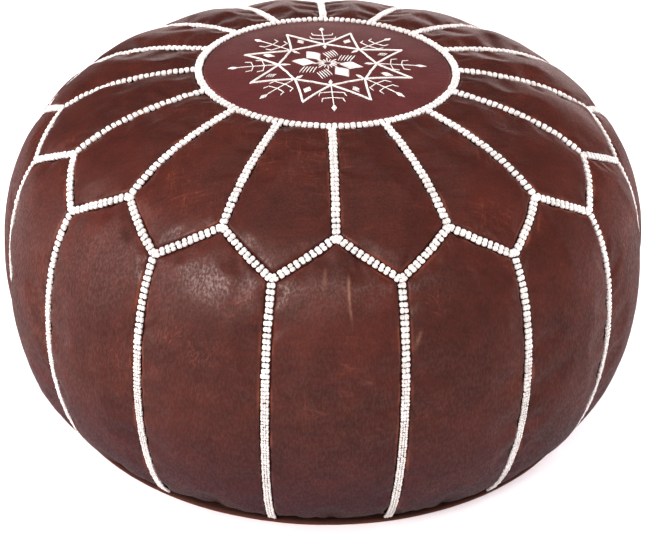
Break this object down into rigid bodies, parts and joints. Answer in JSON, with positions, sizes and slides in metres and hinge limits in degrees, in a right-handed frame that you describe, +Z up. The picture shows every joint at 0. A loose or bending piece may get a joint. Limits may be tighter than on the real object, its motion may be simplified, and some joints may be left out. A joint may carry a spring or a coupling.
{
  "type": "moroccan leather pouf",
  "caption": "Round stuffed leather floor pouf with petal-shaped top panels, peaked side panels, white hand stitching, an embroidered medallion and a zipped base.",
  "frame": {"origin": "on the floor under the centre of the pouf", "axes": "+Z up; the zip under the base runs along X and is closed at its +X end; a seam between two petals points along -Y"},
  "size_m": [0.547, 0.547, 0.2966],
  "materials": {
    "medallion_leather": "satin, dark purplish brown",
    "petal_leather": "satin, dark reddish brown",
    "side_leather": "satin, dark reddish brown",
    "base_leather": "matt, orange brown",
    "cotton_thread": "off-white thread",
    "zip_tape": "woven brown tape",
    "zip_brass": "satin",
    "liner_cotton": "plain cotton",
    "cotton_fill": "loose fill"
  },
  "bodies": {
    "cover": {"medallion": "medallion_leather", "medallion_embroidery": "cotton_thread", "petal_panel_01": "petal_leather", "side_panel_01": "side_leather", "petal_panel_02": "petal_leather", "side_panel_02": "side_leather", "petal_panel_03": "petal_leather", "side_panel_03": "side_leather", "petal_panel_04": "petal_leather", "side_panel_04": "side_leather", "petal_panel_05": "petal_leather", "side_panel_05": "side_leather", "petal_panel_06": "petal_leather", "side_panel_06": "side_leather", "petal_panel_07": "petal_leather", "side_panel_07": "side_leather", "petal_panel_08": "petal_leather", "side_panel_08": "side_leather", "petal_panel_09": "petal_leather", "side_panel_09": "side_leather", "petal_panel_10": "petal_leather", "side_panel_10": "side_leather", "petal_panel_11": "petal_leather", "side_panel_11": "side_leather", "petal_panel_12": "petal_leather", "side_panel_12": "side_leather", "petal_panel_13": "petal_leather", "side_panel_13": "side_leather", "petal_panel_14": "petal_leather", "side_panel_14": "side_leather", "petal_panel_15": "petal_leather", "side_panel_15": "side_leather", "petal_panel_16": "petal_leather", "side_panel_16": "side_leather", "ring_stitching": "cotton_thread", "side_stitching_1": "cotton_thread", "side_stitching_2": "cotton_thread", "side_stitching_3": "cotton_thread", "side_stitching_4": "cotton_thread", "side_stitching_5": "cotton_thread", "side_stitching_6": "cotton_thread", "side_stitching_7": "cotton_thread", "side_stitching_8": "cotton_thread", "base_half_front": "base_leather", "base_half_back": "base_leather", "base_welt": "base_leather", "zip_end_tab_left": "base_leather", "zip_end_tab_right": "base_leather", "zip_tape_front": "zip_tape", "zip_tape_back": "zip_tape", "zip_chain_front": "zip_brass", "zip_chain_back": "zip_brass", "zip_stop_open_end": "zip_brass", "zip_stop_closed_end": "zip_brass", "liner_bag": "liner_cotton", "stuffing": "cotton_fill"},
    "slider": {"zip_slider": "zip_brass"},
    "pull": {"zip_pull": "zip_brass"}
  },
  "joints": [
    {"name": "zip_slide", "type": "slide", "parent": "cover", "child": "slider", "axis": [-1, 0, 0], "range_m": [0, 0.286]},
    {"name": "pull_hinge", "type": "hinge", "parent": "slider", "child": "pull", "pos_m": [0.1435, 0, 0.0071], "axis": [0, -1, 0], "range_deg": [0, 175]}
  ]
}
